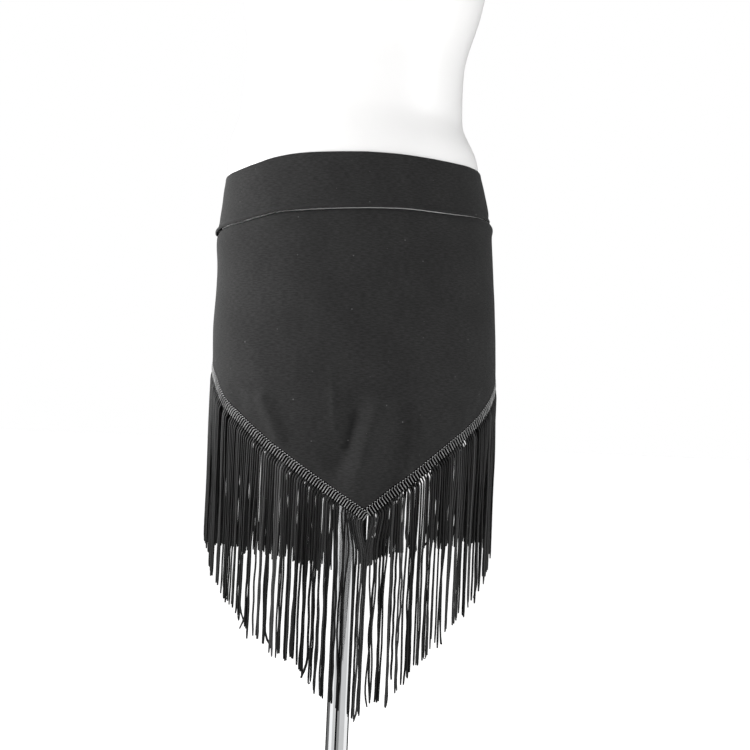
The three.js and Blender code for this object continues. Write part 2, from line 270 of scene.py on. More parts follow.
floor_tree = Tree(bpy.data.materials.new("floor_paint"))
floor_paint = floor_tree.finish(floor_tree.add("BsdfPrincipled", {}, {
    "Base Color": grey(0.85), "Roughness": 0.7, "Emission Color": grey(1), "Emission Strength": FLOOR_GLOW}))
floor_corners = [(x * FLOOR_REACH, y * FLOOR_REACH, 0) for x, y in ((-1, -1), (1, -1), (1, 1), (-1, 1))]
floor = studio_piece("floor", floor_corners, [(0, 1, 2, 3)], floor_paint)
floor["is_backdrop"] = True

# %% [markdown]
# The skirt's right side is in shade. A black flag just out of view keeps the pale floor's light off it.

# %% Flag
FLAG = {"azimuth": 116, "distance": 0.6, "width": 0.95, "height": 1.3}

flag_tree = Tree(bpy.data.materials.new("flag_paint"))
flag_paint = flag_tree.finish(flag_tree.add("BsdfDiffuse", {}, {"Color": grey(0.01)}))
flag_turn = math.radians(FLAG["azimuth"])
flag_middle = FLAG["distance"] * Vector((math.sin(flag_turn), -math.cos(flag_turn), 0))
flag_side = FLAG["width"] / 2 * Vector((math.cos(flag_turn), math.sin(flag_turn), 0))
flag_up = Vector((0, 0, FLAG["height"]))
flag_foot = [flag_middle - flag_side, flag_middle + flag_side]
flag_corners = flag_foot + [corner + flag_up for corner in reversed(flag_foot)]
flag = studio_piece("flag", flag_corners, [(0, 1, 2, 3)], flag_paint, ("camera", "glossy"))
flag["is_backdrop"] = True

# %% [markdown]
# Polished chrome is a mirror, so the pole shows the room. Studios stand cards just out of view to draw
# light and dark lines down such a pole. Here the cards are one low wall round the stand, with a foot that
# runs in over the floor, in sectors that glow at their own levels. Only reflections see it, so it hides and
# shades nothing.

# %% Cards round the stand
CARD_RADIUS = 0.9
CARD_HEIGHT = 0.72
CARD_FOOT = 0.175                    # how near the pole the cards run in over the floor
CARD_LIFT = 2 * MM
CARDS = [
    # where a card starts, in degrees round from the front to the right, and how bright it is
    (-188, 0.06), (-132, 0.2), (-98, 1.2), (-61, 0.76), (-31, 0),
    (-13, 0.34), (11, 0.74), (66, 1.15), (114, 0.06), (172, 0),
]
CARD_STEP = 3                        # degrees
CARD_PROFILE = [(CARD_FOOT, CARD_LIFT), (CARD_RADIUS, CARD_LIFT), (CARD_RADIUS, CARD_HEIGHT)]

card_tree = Tree(bpy.data.materials.new("card_paint"))
card_level = card_tree.add("Attribute", {"attribute_name": "level"}, output="Fac")
card_paint = card_tree.finish(card_tree.add("Emission", {}, {"Color": grey(1), "Strength": card_level}))

card_points = []
card_faces = []
card_levels = []
across_card = len(CARD_PROFILE)
for (start, level), (stop, _) in zip(CARDS, CARDS[1:]):
    turns = np.radians(np.linspace(start, stop, math.ceil((stop - start) / CARD_STEP) + 1))
    first = len(card_points)
    for turn in turns:
        for radius, z in CARD_PROFILE:
            card_points.append((radius * math.sin(turn), -radius * math.cos(turn), z))
            card_levels.append(level)
    for i in range(len(turns) - 1):
        for j in range(across_card - 1):
            corner = first + i * across_card + j
            card_faces.append([corner, corner + across_card, corner + across_card + 1, corner + 1])
all_but_mirrors = ("camera", "diffuse", "transmission", "volume_scatter", "shadow")
cards = studio_piece("cards", card_points, card_faces, card_paint, all_but_mirrors)
cards.data.attributes.new("level", "FLOAT", "POINT").data.foreach_set("value", card_levels)
cards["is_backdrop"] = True
print(len(CARDS) - 1, "cards round the stand")

# %% [markdown]
# ## The figure under the cloth
# Everything on the skirt is placed on one surface: level sections through the figure, each a rounded oval
# with its own half width, depths to the front and back, and sideways shift. Points in between come from a
# smooth curve down each column. Modelling the cloth from this surface, and not from the solids' flat
# facets, keeps it smooth.

# %% Sections of the figure
SECTIONS = MM * np.array([
    # height, half width, front, back, shift
    [560, 147.7, 98.7, 107.7, 3.0], [610, 151.7, 100.7, 109.7, 3.0],
    [752, 157.7, 107.7, 117.7, 2.5], [771, 157.9, 108.7, 118.7, 2.0], [800, 158, 109.7, 119.7, 0.9],
    [850, 155.5, 107.7, 116.7, -0.3], [925, 152, 103.7, 107.7, -2.7],
    [945, 149.2, 101.7, 104, -3.6], [985, 143.7, 96.7, 95.7, -7.5], [1010, 141, 93.4, 91.8, -9.6],
    [1052, 126.5, 87, 84, -13.5], [1110, 124, 90, 85, -12], [1190, 137, 104, 94, -6],
    [1245, 142, 115, 97, -3], [1300, 148, 104, 98, -1], [1345, 153, 82, 88, 0],
    [1375, 132, 66, 76, 0], [1396, 92, 56, 64, 0], [1412, 62, 50, 57, 0], [1440, 52, 47, 52, 0],
    [1480, 50, 46, 50, 0],
])
ROUNDNESS = 2.25                     # 2 is an ellipse, and more is squarer


def through(xs, ys, at):
    """A smooth curve through points that doesn't overshoot them."""
    slope = np.diff(ys) / np.diff(xs)
    before, after = slope[:-1], slope[1:]
    agree = before * after > 0
    inner = np.where(agree, 2 * before * after / np.where(agree, before + after, 1), 0)
    tangent = np.concatenate([slope[:1], inner, slope[-1:]])
    at = np.clip(at, xs[0], xs[-1])
    i = np.clip(np.searchsorted(xs, at, side="right") - 1, 0, len(xs) - 2)
    gap = xs[i + 1] - xs[i]
    t = (at - xs[i]) / gap
    blend = t * t * (3 - 2 * t)
    bulge = t * (1 - t) * (tangent[i] * (1 - t) - tangent[i + 1] * t)
    return ys[i] * (1 - blend) + ys[i + 1] * blend + gap * bulge


def power(value, exponent):
    return np.sign(value) * np.abs(value) ** exponent


def figure_point(z, angle, out):
    """Points at a distance off the figure, and the way out of it. Angles run from the front towards +X."""
    z, angle, out = np.broadcast_arrays(z, angle, out)
    half, front, back, shift = (through(SECTIONS[:, 0], SECTIONS[:, i], z) for i in (1, 2, 3, 4))
    depth = np.where(np.cos(angle) >= 0, front, back)
    across = power(np.sin(angle), 2 / ROUNDNESS)
    along = -power(np.cos(angle), 2 / ROUNDNESS)
    normal = np.stack(
        [power(across, ROUNDNESS - 1) / half, power(along, ROUNDNESS - 1) / depth, np.zeros(z.shape)], -1)
    normal /= np.linalg.norm(normal, axis=-1, keepdims=True)
    point = np.stack([shift + half * across, depth * along, z], -1)
    return point + out[..., None] * normal, normal


HIP_LINE = 771 * MM
girth = figure_point(HIP_LINE, np.linspace(0, 2 * math.pi, 721), 0.0)[0]
print("hip girth", round(float(np.linalg.norm(np.diff(girth, axis=0), axis=1).sum()), 3), "m")

# %% [markdown]
# Places on a panel are given by an arc length from its middle, measured round the hip line, and a height.
# The waist seam, the top edge and the hem are heights that change with the arc.

# %% Places on the skirt
CLOTH_OUT = 2.3 * MM                 # the panels' outside, off the figure
BAND_OUT = 3.3 * MM                  # the waistband's, which is double
SEAM_GAP = 0.3 * MM
QUARTERS = np.linspace(0, math.pi / 2, 241)
SIDES = {"front": 1, "back": -1}


def angle_from(side, quarter):
    return quarter if side == "front" else math.pi - quarter


def hip_arcs(side):
    points = figure_point(HIP_LINE, angle_from(side, QUARTERS), CLOTH_OUT)[0]
    return np.concatenate([[0], np.cumsum(np.linalg.norm(np.diff(points, axis=0), axis=1))])


ARCS = {side: hip_arcs(side) for side in SIDES}
HALF_WIDTH = {side: ARCS[side][-1] for side in SIDES}


def angle_at(side, arc):
    """The angle round the figure of an arc length, which is positive towards +X."""
    angle = angle_from(side, np.interp(np.abs(arc), ARCS[side], QUARTERS))
    return np.where(arc < 0, -angle, angle)


TOP_EDGE = {
    "front": MM * np.array([
        # out from the middle, height on the left, height on the right
        [0, 992.6, 992.6], [45, 989.7, 993.4], [80, 987.2, 993.2], [110, 983.2, 993.5],
        [140, 977.2, 994.7], [170, 973.6, 995.3], [219, 972.4, 995.6],
    ]),
    "back": MM * np.array([
        [0, 988.5, 988.5], [113, 981, 993], [226, 972.4, 995.6],
    ]),
}
WAIST_SEAM = {
    "front": MM * np.array([
        [0, 931.8, 931.8], [45, 928.2, 934.1], [80, 925.2, 934.3], [100, 923.4, 935],
        [125, 918.7, 936.8], [150, 914.3, 938.6], [185, 911.9, 940], [219, 910, 941],
    ]),
    "back": MM * np.array([
        [0, 928.5, 928.5], [113, 919.5, 936], [226, 910, 941],
    ]),
}
HEM = {
    "front": MM * np.array([
        [0, 619.5, 619.5], [45, 647.5, 654], [95, 680.5, 693], [135, 709, 721.5], [165, 729.5, 745],
        [190, 753.5, 763], [219, 769, 774],
    ]),
    "back": MM * np.array([
        [0, 725, 725], [75, 735, 736.5], [150, 751, 754], [226, 769, 774],
    ]),
}


def line_height(line, side, arc):
    """Height of a line round the skirt."""
    rows = line[side]
    left, right = (through(rows[:, 0], rows[:, column], np.abs(arc)) for column in (1, 2))
    return np.where(arc < 0, left, right)


def hem_line(side, arc):
    return line_height(HEM, side, arc)


for side in SIDES:
    print(side, "panel", round(2 * HALF_WIDTH[side], 3), "m across")

# %% [markdown]
# ## Folds
# Where the knit is held tight over the form it lies smooth. Below the form it hangs free, in a few soft
# folds that run towards the point. A simulation would need the real cut and stretch of the cloth, so each
# fold is listed: a line from a high end to a low end, with a width and a height. Finer creases are
# added the same way.

# %% Folds and creases
FORM_BOTTOM = 752 * MM
FOLD_START = FORM_BOTTOM - 2 * MM
FOLD_FADE = 22 * MM
FOLDS = {
    # arc and height of the high end, arc and height of the low end, width, height
    "front": [
        (-112, 729, -94, 688, 8, 3.4), (-40, 744, -28, 684, 6, 1.6), (-15, 729, -32, 671, 12, -4),
        (11, 730, -10, 644, 16, 5), (36, 725, 24, 642, 14, -4.5), (62, 706, 54, 682, 9, 2.2),
        (111, 731, 106, 708, 8, 2), (-150, 742, -140, 722, 10, -2.2),
    ],
    "back": [
        (-88, 750, -74, 728, 12, -2.4), (-22, 748, -8, 724, 15, 2.8), (30, 748, 22, 727, 12, -2.6),
        (102, 752, 92, 738, 12, 2.2),
    ],
}
CREASES = {
    # the same columns, for the drag lines over the form and the finer folds by the point
    "front": [
        (-178, 918, -120, 902, 7, 0.35), (182, 922, 128, 905, 8, 0.3),
        (-60, 905, -30, 846, 16, -0.35), (38, 902, 12, 840, 18, -0.4),
        (-190, 842, -150, 800, 12, 0.3), (-15, 716, -21, 684, 5.5, -3.4),
        (-18, 682, -33, 658, 6.5, -1.4), (4, 716, -7, 662, 9, 2.2), (-41, 764, -34, 694, 2.2, 0.6),
        (-8, 638, 22, 640, 3.5, 0.8), (186, 850, 150, 806, 12, 0.3), (-128, 770, -104, 735, 8, 0.5),
        (130, 743, 120, 721, 6, 0.8),
    ],
    "back": [
        (-176, 916, -96, 880, 10, 0.45), (170, 918, 92, 884, 11, 0.45),
        (-30, 905, -12, 850, 15, -0.5), (52, 900, 34, 848, 14, -0.4),
        (-150, 800, -110, 768, 11, 0.4), (148, 806, 112, 770, 12, 0.4),
    ],
}


def eased(t):
    t = np.clip(t, 0, 1)
    return t * t * (3 - 2 * t)


def lines_height(rows, side, arc, z):
    """The sum of soft ridges and troughs, each a bell curve across its line."""
    height = np.zeros(np.broadcast(arc, z).shape)
    for sizes in rows[side]:
        arc_high, z_high, arc_low, z_low, width, rise = (MM * size for size in sizes)
        line = np.array([arc_high - arc_low, z_high - z_low])
        along = np.clip(((arc - arc_low) * line[0] + (z - z_low) * line[1]) / (line @ line), 0, 1)
        away = np.hypot(arc - arc_low - along * line[0], z - z_low - along * line[1])
        height += rise * np.exp(-((away / width) ** 2))
    return height


def fold_height(side, arc, z):
    return eased((FOLD_START - z) / FOLD_FADE) * lines_height(FOLDS, side, arc, z)


def skirt_point(side, arc, z, out):
    """A point at a distance off the skirt's folded surface, and the way out of it."""
    return figure_point(z, angle_at(side, arc), out + fold_height(side, arc, z))


for side in SIDES:
    print(side, "has", len(FOLDS[side]), "folds and", len(CREASES[side]), "creases")

# %% [markdown]
# ## Materials
# The knit is a fine jersey. From a step away it is a soft black with faint courses across, a little lint,
# and a bloom at grazing angles, which is sheen. Its stitches are bump, because they are half a millimetre
# wide. The places on the cloth are kept as a UV map in metres, so the stitch size is a real size.

# %% Knit
CLOTH_MAP = "cloth"
WALE = 0.62 * MM                     # width of a stitch
COURSE = 0.5 * MM                    # height of a stitch
KNIT_BLACK = 0.0145


def knit_material():
    tree = Tree(bpy.data.materials.new("stretch_knit"))
    place = tree.add("UVMap", {"uv_map": CLOTH_MAP})
    axes = tree.add("SeparateXYZ", {}, {0: place})
    arc, height = axes.output("X"), axes.output("Y")

    # Each stitch is a V: the courses rise towards both sides of a wale.
    across = arc * (2 * math.pi / WALE)
    wale = across.maths("SINE", across)
    course = height * (2 * math.pi / COURSE) + abs(wale) * 1.6
    stitch = course.maths("SINE", course) * 0.5 + abs(wale) * 0.5

    # Uneven yarn shows as faint streaks along the courses, and the cloth's own tone drifts slowly.
    stretched = tree.add("VectorMath", {"operation": "MULTIPLY"}, {0: place, 1: (170, 900, 1)})
    streak = tree.add("TexNoise", {"noise_dimensions": "2D"}, {
        "Vector": stretched, "Scale": 1.0, "Detail": 3.0, "Roughness": 0.65})
    drift = tree.add("TexNoise", {"noise_dimensions": "2D"}, {
        "Vector": place, "Scale": 22.0, "Detail": 2.0})
    tone = tree.ramp(streak, 0.3, 0.72, 0.72, 1.34) * tree.ramp(drift, 0.35, 0.65, 0.93, 1.07)

    # Lint: a pale speck of uneven size in a few of the cells.
    cells = tree.add("TexVoronoi", {"voronoi_dimensions": "2D"}, {"Vector": place, "Scale": 52.0})
    chance = tree.add("SeparateColor", {}, {0: cells.output("Color")})
    size = chance.output("Green") ** 2 * 0.035 + 0.014
    speck = tree.ramp(cells / size, 0.5, 1.2, 1.0, 0.0) * (chance > 0.86)

    shade = KNIT_BLACK * tone
    black = tree.add("CombineColor", {}, {"Red": shade, "Green": shade, "Blue": shade})
    colour = tree.mix(speck * 0.22, black, grey(0.3))
    bump = tree.add("Bump", {}, {
        "Strength": 0.35, "Distance": 0.12 * MM, "Height": stitch + streak * 0.8})
    cloth = tree.add("BsdfPrincipled", {}, {
        "Base Color": colour, "Roughness": 0.82, "Normal": bump, "Specular IOR Level": 0.16,
        "Sheen Weight": 0.1, "Sheen Roughness": 0.4, "Sheen Tint": grey(0.9)})
    return tree.finish(cloth)


KNIT = knit_material()

# %% [markdown]
# The fringe is a bright rayon cord, smoother and glossier than the knit. Light slides along each cord, so
# its roughness is low, and a twist in the bump breaks the highlight; the twist also darkens the colour in its
# grooves, a painted shade. A tone on each cord tells neighbours apart, and on a few strands it is raised as a
# painted highlight. The braid's cords are glossier and painted paler, a painted highlight, and the tape
# under them is dark and matt.

# %% Yarn, form and chrome
TWIST = 2.2 * MM                     # length of one turn of the cord
TWIST_MAP = "twist"


def yarn_material(name, black, lustre, gloss):
    tree = Tree(bpy.data.materials.new(name))
    place = tree.add("UVMap", {"uv_map": TWIST_MAP})
    axes = tree.add("SeparateXYZ", {}, {0: place})
    turn = (axes.output("Y") / TWIST + axes.output("X") * 2) * (2 * math.pi)
    ply = turn.maths("SINE", turn)
    tone_and_painted_highlight = tree.add("Attribute", {"attribute_name": "tone"}, output="Fac")
    # The ply darkens the colour in the twist's grooves, a painted shade; the tone also carries painted
    # highlights.
    shade = black * (0.5 + tone_and_painted_highlight) * (0.85 + ply * 0.15)
    colour = tree.add("CombineColor", {}, {"Red": shade, "Green": shade, "Blue": shade})
    bump = tree.add("Bump", {}, {"Strength": 0.3, "Distance": 0.12 * MM, "Height": ply})
    cord = tree.add("BsdfPrincipled", {}, {
        "Base Color": colour, "Roughness": lustre, "Normal": bump, "Specular IOR Level": gloss})
    return tree.finish(cord)


def form_material():
    tree = Tree(bpy.data.materials.new("form_shell"))
    place = tree.add("TexCoord", output="Object")
    cloud = tree.add("TexNoise", {}, {"Vector": place, "Scale": 9.0, "Detail": 4.0})
    orange_peel = tree.add("TexNoise", {}, {"Vector": place, "Scale": 420.0, "Detail": 1.0})
    colour = tree.mix(cloud, grey(0.71, 0.006), grey(0.76, 0.003))
    bump = tree.add("Bump", {}, {"Strength": 0.06, "Distance": 0.2 * MM, "Height": orange_peel})
    shell = tree.add("BsdfPrincipled", {}, {
        "Base Color": colour, "Roughness": tree.ramp(cloud, 0.3, 0.7, 0.38, 0.46), "Normal": bump})
    return tree.finish(shell)


def chrome_material():
    tree = Tree(bpy.data.materials.new("chrome_plate"))
    place = tree.add("TexCoord", output="Object")
    along = tree.add("VectorMath", {"operation": "MULTIPLY"}, {0: place, 1: (900, 900, 14)})
    polish = tree.add("TexNoise", {}, {"Vector": along, "Scale": 1.0, "Detail": 3.0})
    smudge = tree.add("TexNoise", {}, {"Vector": place, "Scale": 34.0, "Detail": 5.0})
    roughness = 0.02 + tree.ramp(smudge, 0.5, 0.75) * 0.06 + polish * 0.02
    plate = tree.add("BsdfPrincipled", {}, {
        "Base Color": tree.mix(smudge, grey(0.8, -0.01), grey(0.7, -0.01)), "Metallic": 1.0,
        "Roughness": roughness})
    return tree.finish(plate)


FRINGE_YARN = yarn_material("fringe_yarn", 0.005, 0.4, 0.22)
# The braid's yarn is coloured grey, not black, a painted highlight for the light along its glossy ridges.
BRAID_YARN_PAINTED_PALE = yarn_material("braid_yarn", 0.19, 0.32, 0.8)
TAPE_YARN = yarn_material("tape_yarn", 0.006, 0.8, 0.1)
FORM_SHELL = form_material()
CHROME = chrome_material()
print("materials:", [m.name for m in bpy.data.materials])

# %% [markdown]
# ## Meshes
# Every piece is a list of points and a list of faces, so one function turns them into an object. It keeps a
# UV map of real lengths and a tone for each point where the material asks for them.

# %% Making a piece
def make_piece(name, points, faces, material, replaced, corner_map=None, map_name=CLOTH_MAP, tone=None):
    """An object from points and faces that rides on the stand. corner_map has a row for each face corner."""
    mesh = bpy.data.meshes.new(name)
    mesh.from_pydata(np.asarray(points).tolist(), [], faces)
    mesh.polygons.foreach_set("use_smooth", [True] * len(mesh.polygons))
    if corner_map is not None:
        mesh.uv_layers.new(name=map_name).data.foreach_set("uv", np.asarray(corner_map, float).ravel())
    if tone is not None:
        mesh.attributes.new("tone", "FLOAT", "POINT").data.foreach_set("value", np.asarray(tone, float))
    mesh.materials.append(material)
    mesh.update()
    piece = placed(name, mesh)
    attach(piece, "root")
    if replaced:
        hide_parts(*replaced)
    triangles = sum(len(face) - 2 for face in faces)
    print(f"{name}: {triangles} triangles")
    return piece


def corners_of(faces, point_map):
    """A map on points spread to the faces' corners."""
    return np.asarray(point_map)[np.concatenate([np.asarray(face) for face in faces])]


def loft(rings):
    """Faces between rings with as many points each, from the lowest ring up, and both ends closed."""
    count, size = rings.shape[:2]
    here = np.arange(size)
    after = np.roll(here, -1)
    faces = []
    for level in range(count - 1):
        low, high = level * size, (level + 1) * size
        faces += np.stack([low + here, low + after, high + after, high + here], 1).tolist()
    return faces + [list(here[::-1]), list((count - 1) * size + here)]


# %% [markdown]
# ## The dress form
# A moulded torso form is one smooth shell, so it is lofted through many level rings of the figure's
# surface. Its lower edge and the top of its neck are rounded by rings that shrink in a quarter circle.

# %% Dress form
FORM_EDGE = 14 * MM
NECK_EDGE = 6 * MM
FORM_COLUMNS = 160
FORM_STEP = 6 * MM
EDGE_TURNS = np.linspace(0, math.pi / 2, 9)

form_top = SECTIONS[-1, 0]
lower_edge = [
    (FORM_BOTTOM + FORM_EDGE * (1 - math.cos(t)), FORM_EDGE * (1 - math.sin(t))) for t in EDGE_TURNS]
body_levels = np.arange(FORM_BOTTOM + FORM_EDGE + FORM_STEP, form_top - NECK_EDGE, FORM_STEP)
upper_edge = [
    (form_top - NECK_EDGE * (1 - math.sin(t)), NECK_EDGE * (1 - math.cos(t))) for t in EDGE_TURNS]
levels = lower_edge + [(z, 0.0) for z in body_levels] + upper_edge
level_heights, insets = (np.array(column)[:, None] for column in zip(*levels))
round_form = np.linspace(0, 2 * math.pi, FORM_COLUMNS, endpoint=False)[None, :]
form_rings = figure_point(level_heights, round_form, -insets)[0]
make_piece("form_body", form_rings.reshape(-1, 3), loft(form_rings), FORM_SHELL, ["dress_form"])

# %% [markdown]
# ## The stand
# Pole, socket, hub and base plate are turned pieces: a profile swept round the axis. Their corners are
# rounded in the profile, because a real edge always catches a line of light. Sizes come from the solids'
# boxes.

# %% Stand
TURNED_COLUMNS = 96
CORNER_STEPS = 5


def rounded_profile(corners):
    """A profile whose corners, each a radius, a height and a rounding, are replaced by small arcs."""
    made = []
    for i, (radius, height, rounding) in enumerate(corners):
        here = np.array([radius, height])
        if not rounding:
            made.append(here)
            continue
        before, after = (np.array(corners[j % len(corners)][:2]) for j in (i - 1, i + 1))
        start = here + rounding * (before - here) / np.linalg.norm(before - here)
        end = here + rounding * (after - here) / np.linalg.norm(after - here)
        for t in np.linspace(0, 1, CORNER_STEPS + 1):
            made.append((1 - t) ** 2 * start + 2 * t * (1 - t) * here + t ** 2 * end)
    return np.array(made)


def turned_piece(name, node, corners, hollow):
    """Sweeps a profile round the pole's axis. A hollow piece's profile closes on itself."""
    profile = rounded_profile(corners)
    turn = np.linspace(0, 2 * math.pi, TURNED_COLUMNS, endpoint=False)
    rings = np.stack([
        profile[:, :1] * np.cos(turn), profile[:, :1] * np.sin(turn),
        np.repeat(profile[:, 1:], TURNED_COLUMNS, 1)], -1)
    if hollow:
        rings = np.concatenate([rings, rings[:1]])
        faces = loft(rings)[:-2]
        count = (len(rings) - 1) * TURNED_COLUMNS
        faces = [[corner % count for corner in face] for face in faces]
        points = rings[:-1].reshape(-1, 3)
    else:
        faces = loft(rings)
        points = rings.reshape(-1, 3)
    piece = make_piece(name, points, faces, CHROME, [node])
    piece.data.set_sharp_from_angle(angle=math.radians(35))
    return piece


def radius_and_heights(node):
    low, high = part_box(node)
    return (high.x - low.x) / 2, low.z, high.z


pole_radius, pole_foot, pole_head = radius_and_heights("pole")
plate_radius, plate_foot, plate_top = radius_and_heights("base_plate")
hub_radius, hub_foot, hub_top = radius_and_heights("base_hub")
flange_radius, socket_foot, socket_top = radius_and_heights("socket")
FLANGE = 6 * MM
NECK_RADIUS = 19 * MM
FIT = 0.3 * MM                       # between the pole and what sits round it
bore = pole_radius + FIT

turned_piece("chrome_pole", "pole", [
    (pole_radius, pole_foot, 0.4 * MM), (pole_radius, pole_head, 0.4 * MM)], hollow=False)
turned_piece("foot_plate", "base_plate", [
    (plate_radius - 1 * MM, plate_foot, 0), (plate_radius, plate_foot + 1 * MM, 0.6 * MM),
    (plate_radius, plate_top - 2.5 * MM, 1.2 * MM), (plate_radius - 2.5 * MM, plate_top, 1.5 * MM),
    (hub_radius, plate_top, 0)], hollow=False)
turned_piece("pole_hub", "base_hub", [
    (bore, hub_foot, 0), (hub_radius, hub_foot, 0.5 * MM), (hub_radius, hub_top - 4 * MM, 2 * MM),
    (hub_radius - 4 * MM, hub_top, 2 * MM), (bore, hub_top, 0.4 * MM)], hollow=True)
turned_piece("form_socket", "socket", [
    (bore, socket_foot, 0.4 * MM), (NECK_RADIUS, socket_foot, 1 * MM),
    (NECK_RADIUS, socket_top - FLANGE, 2 * MM), (flange_radius, socket_top - FLANGE, 1.5 * MM),
    (flange_radius, socket_top, 0.5 * MM), (bore, socket_top, 0)], hollow=True)

# %% [markdown]
# ## The cloth
# Each piece of the skirt is a thin closed shell. Going round its cross-section gives the outside, the
# rounded upper edge, the inside and the rounded lower edge, so the edges look like soft knit and not like
# cut card. Towards a seam the outside dives in, as cloth does where thread pulls it down.

# %% Cloth shells
CLOTH_THICK = 0.9 * MM
BAND_THICK = 1.8 * MM
ROUND_EDGE = np.linspace(0, math.pi, 5)[1:-1]
SIDE_SEAM = {"dip": 0.7 * MM, "width": 1.6 * MM}


def arcs_across(side, columns):
    """Arc lengths between the side seams, rightwards as seen from outside and closer at the seams."""
    reach = HALF_WIDTH[side] - SEAM_GAP / 2
    even = np.linspace(-1, 1, columns + 1) * reach
    near = reach - np.array([0.4, 0.9, 1.6, 2.6, 4.0]) * MM
    return SIDES[side] * np.unique(np.concatenate([even, near, -near]))


def cloth_shell(side, columns, rows, bottom, top, outside, thick, crowding=1.0):
    """A closed shell. outside(arc, z, above_bottom, below_top) says how far it stands off the figure."""
    half = thick / 2
    arc = arcs_across(side, columns)[:, None]
    low, high = bottom(arc) + half, top(arc) - half
    part = np.linspace(0, 1, rows + 1)[None, :] ** crowding
    z = low + (high - low) * part
    off = outside(arc, z, z - low, high - z)

    # Round the cross-section: outside, upper edge, inside, lower edge.
    turn = ROUND_EDGE[None, :]
    over_z, over_off = high + half * np.sin(turn), off[:, -1:] - half + half * np.cos(turn)
    under_z, under_off = low - half * np.sin(turn), off[:, :1] - half - half * np.cos(turn)
    loop_z = np.concatenate([z, over_z, z[:, ::-1], under_z], 1)
    loop_off = np.concatenate([off, over_off, off[:, ::-1] - thick, under_off], 1)
    points, _ = skirt_point(side, arc, loop_z, loop_off)
    count, size = loop_z.shape

    # Each end is closed by a ladder of faces from the outside to the inside.
    faces = []
    here = np.arange(size)
    after = np.roll(here, -1)
    for column in range(count - 1):
        left, right = column * size, (column + 1) * size
        faces += np.stack([left + here, right + here, right + after, left + after], 1).tolist()
    back_row = lambda row: size - 1 - len(ROUND_EDGE) - row
    ladder = [[row, row + 1, back_row(row + 1), back_row(row)] for row in range(rows)]
    ladder.append(list(range(rows, back_row(rows) + 1)))
    ladder.append(list(range(back_row(0), size)) + [0])
    faces += ladder + [[(count - 1) * size + corner for corner in face[::-1]] for face in ladder]
    place_map = np.stack([np.broadcast_to(arc, loop_z.shape), loop_z], -1).reshape(-1, 2)
    return points.reshape(-1, 3), faces, corners_of(faces, place_map)


def side_dip(side, arc):
    """How far the cloth is pulled in at a side seam."""
    return SIDE_SEAM["dip"] * np.exp(-(((HALF_WIDTH[side] - np.abs(arc)) / SIDE_SEAM["width"]) ** 2))


def drift(side, arc, z):
    """Slow unevenness of a worn knit, a fraction of a millimetre."""
    seed = 0.0 if side == "front" else 2.1
    waves = np.sin(arc * 41 + z * 23 + seed) * np.sin(z * 57 - arc * 17 + 2 * seed)
    return 0.16 * MM * (waves + 0.6 * np.sin(arc * 97 - z * 64 + 1.3 + seed))


# %% [markdown]
# The waist seam joins the double band to the single panel. Its allowance is pressed up on the left, so the
# band's lower edge flares there, and it has rolled down on the right, where the panel bulges just under the
# seam.

# %% Waist seam profile
SEAM_ROLL = 0.9 * MM                 # the ridge along the band's lower edge
SEAM_FLARE = 3.4 * MM
LEFT_SWELL = 2.8 * MM
RIGHT_BULGE = 2.8 * MM
RIGHT_TUCK = 1.4 * MM                # how far the band's lower edge turns in on the right
SEAM_DIVE = 1.2 * MM
EDGE_THIN = 1.1 * MM                 # how much thinner the band is at its folded upper edge
FORM_LINE = 0.45 * MM                # how the form's lower edge shows through the cloth
HEM_LINE = 0.15 * MM


def leftness(side, arc):
    """1 at the left side seam and 0 from the middle on."""
    return eased(-arc / HALF_WIDTH[side])


def rightness(side, arc):
    return eased((arc / HALF_WIDTH[side] - 0.35) / 0.65)


def bell(distance, centre, width):
    return np.exp(-(((distance - centre) / width) ** 2))


def band_outside(side):
    def outside(arc, z, above, below):
        off = BAND_OUT + drift(side, arc, z) * 0.6 - side_dip(side, arc)
        off = off + SEAM_ROLL * bell(above, 1.3 * MM, 1.8 * MM)
        off = off - 0.5 * SEAM_ROLL * bell(above, 5 * MM, 2.5 * MM)
        off = off + SEAM_FLARE * leftness(side, arc) * bell(above, 0, 7 * MM)
        off = off - RIGHT_TUCK * rightness(side, arc) * bell(above, 0, 9 * MM)
        return off - EDGE_THIN * bell(below, 0, 10 * MM)
    return outside


def panel_outside(side):
    def outside(arc, z, above, below):
        off = CLOTH_OUT + drift(side, arc, z) + lines_height(CREASES, side, arc, z) - side_dip(side, arc)
        off = off - SEAM_DIVE * bell(below, 0, 2.2 * MM)
        off = off + LEFT_SWELL * leftness(side, arc) * bell(below, 6 * MM, 20 * MM)
        off = off + RIGHT_BULGE * rightness(side, arc) * bell(below, 6 * MM, 6.5 * MM)
        off = off + FORM_LINE * bell(z, FORM_BOTTOM - 3 * MM, 5 * MM)
        return off + HEM_LINE * bell(above, 1.5 * MM, 2 * MM)
    return outside


# %% Panels and waistband
BAND_GRID = (150, 40)
PANEL_GRID = {"front": (220, 110), "back": (200, 90)}
CROWDING = 1.25

cloth_pieces = {}
for side in SIDES:
    seam = lambda arc, side=side: line_height(WAIST_SEAM, side, arc)
    top_edge = lambda arc, side=side: line_height(TOP_EDGE, side, arc)
    under_seam = lambda arc, side=side: line_height(WAIST_SEAM, side, arc) - SEAM_GAP
    hem = lambda arc, side=side: hem_line(side, arc)
    for name, shape in {
        f"waistband_{side}": (*BAND_GRID, seam, top_edge, band_outside(side), BAND_THICK),
        f"panel_{side}": (*PANEL_GRID[side], hem, under_seam, panel_outside(side), CLOTH_THICK, CROWDING),
    }.items():
        points, faces, cloth_map = cloth_shell(side, *shape)
        cloth_pieces[name] = make_piece(
            f"knit_{name}", points, faces, KNIT, [name], cloth_map, CLOTH_MAP)

# %% [markdown]
# ## The braid
# The fringe hangs from a narrow braid: cords lie side by side, square to the hem, on a thin dark tape, and
# a short stitch crosses each gap at the cloth's edge. Each cord is one rounded ridge, about 3 mm from the
# next. Places along the trim are measured along the hem itself, which is steep in front, so the ridges stay
# evenly spaced.

